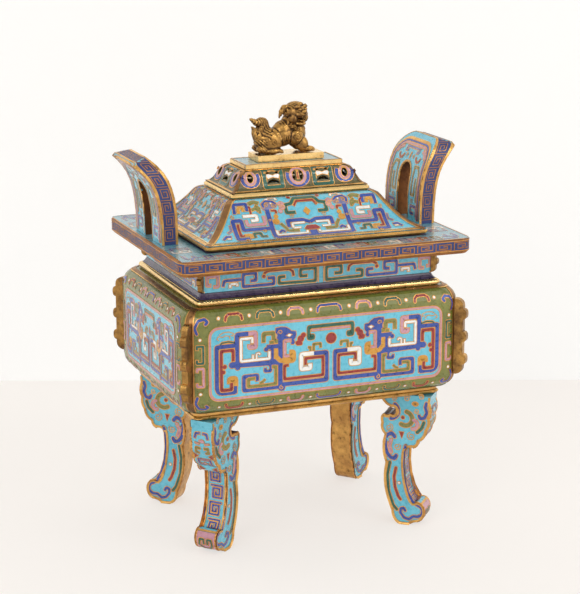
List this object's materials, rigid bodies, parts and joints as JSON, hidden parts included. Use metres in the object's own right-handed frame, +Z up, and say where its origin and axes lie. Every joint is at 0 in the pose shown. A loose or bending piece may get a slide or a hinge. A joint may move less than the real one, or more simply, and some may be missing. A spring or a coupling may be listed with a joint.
{
  "type": "incense burner",
  "caption": "Rectangular enamelled incense burner on cabriole legs, with a flat rim, upright loop handles, and a lift-off pierced lid under a lion finial.",
  "frame": {"origin": "centre of the overall box at the level of the four feet's soles", "axes": "+Z up, +X along the long side towards one handle, -Y out of the front panel"},
  "size_m": [0.2228, 0.1558, 0.2821],
  "materials": {
    "gilt": "worn fire gilding, satin, brown in the recesses",
    "bright_gilt": "polished fire gilding",
    "turquoise_enamel": "polished turquoise enamel with gilt wires",
    "olive_enamel": "polished olive enamel with gilt wires",
    "blue_enamel": "polished cobalt enamel with gilt wires",
    "purple_enamel": "polished aubergine enamel"
  },
  "bodies": {
    "vessel": {"leg_front_left": "turquoise_enamel", "leg_front_right": "turquoise_enamel", "leg_back_right": "turquoise_enamel", "leg_back_left": "turquoise_enamel", "leg_screw_front_left": "gilt", "leg_screw_front_right": "gilt", "leg_screw_back_right": "gilt", "leg_screw_back_left": "gilt", "base_moulding": "gilt", "base_plate": "gilt", "vessel_body": "olive_enamel", "shoulder_moulding": "bright_gilt", "neck_cove": "purple_enamel", "neck_band": "turquoise_enamel", "body_flange_front_left": "gilt", "body_flange_front_right": "gilt", "body_flange_back_right": "gilt", "body_flange_back_left": "gilt", "neck_flange_front_left": "gilt", "neck_flange_front_right": "gilt", "neck_flange_back_right": "gilt", "neck_flange_back_left": "gilt", "rim": "blue_enamel", "handle_left": "turquoise_enamel", "handle_right": "turquoise_enamel"},
    "lid": {"lid_lip": "gilt", "lid_collar": "gilt", "lid_skirt": "turquoise_enamel", "waist_moulding": "bright_gilt", "gallery": "olive_enamel", "lid_top_plate": "turquoise_enamel", "finial_plinth": "bright_gilt", "finial_stud": "gilt", "finial_washer": "gilt", "finial_nut": "gilt", "lion": "gilt"}
  },
  "joints": [
    {"name": "lid_lift", "type": "slide", "parent": "vessel", "child": "lid", "axis": [0, 0, 1], "range_m": [0, 0.09]}
  ]
}
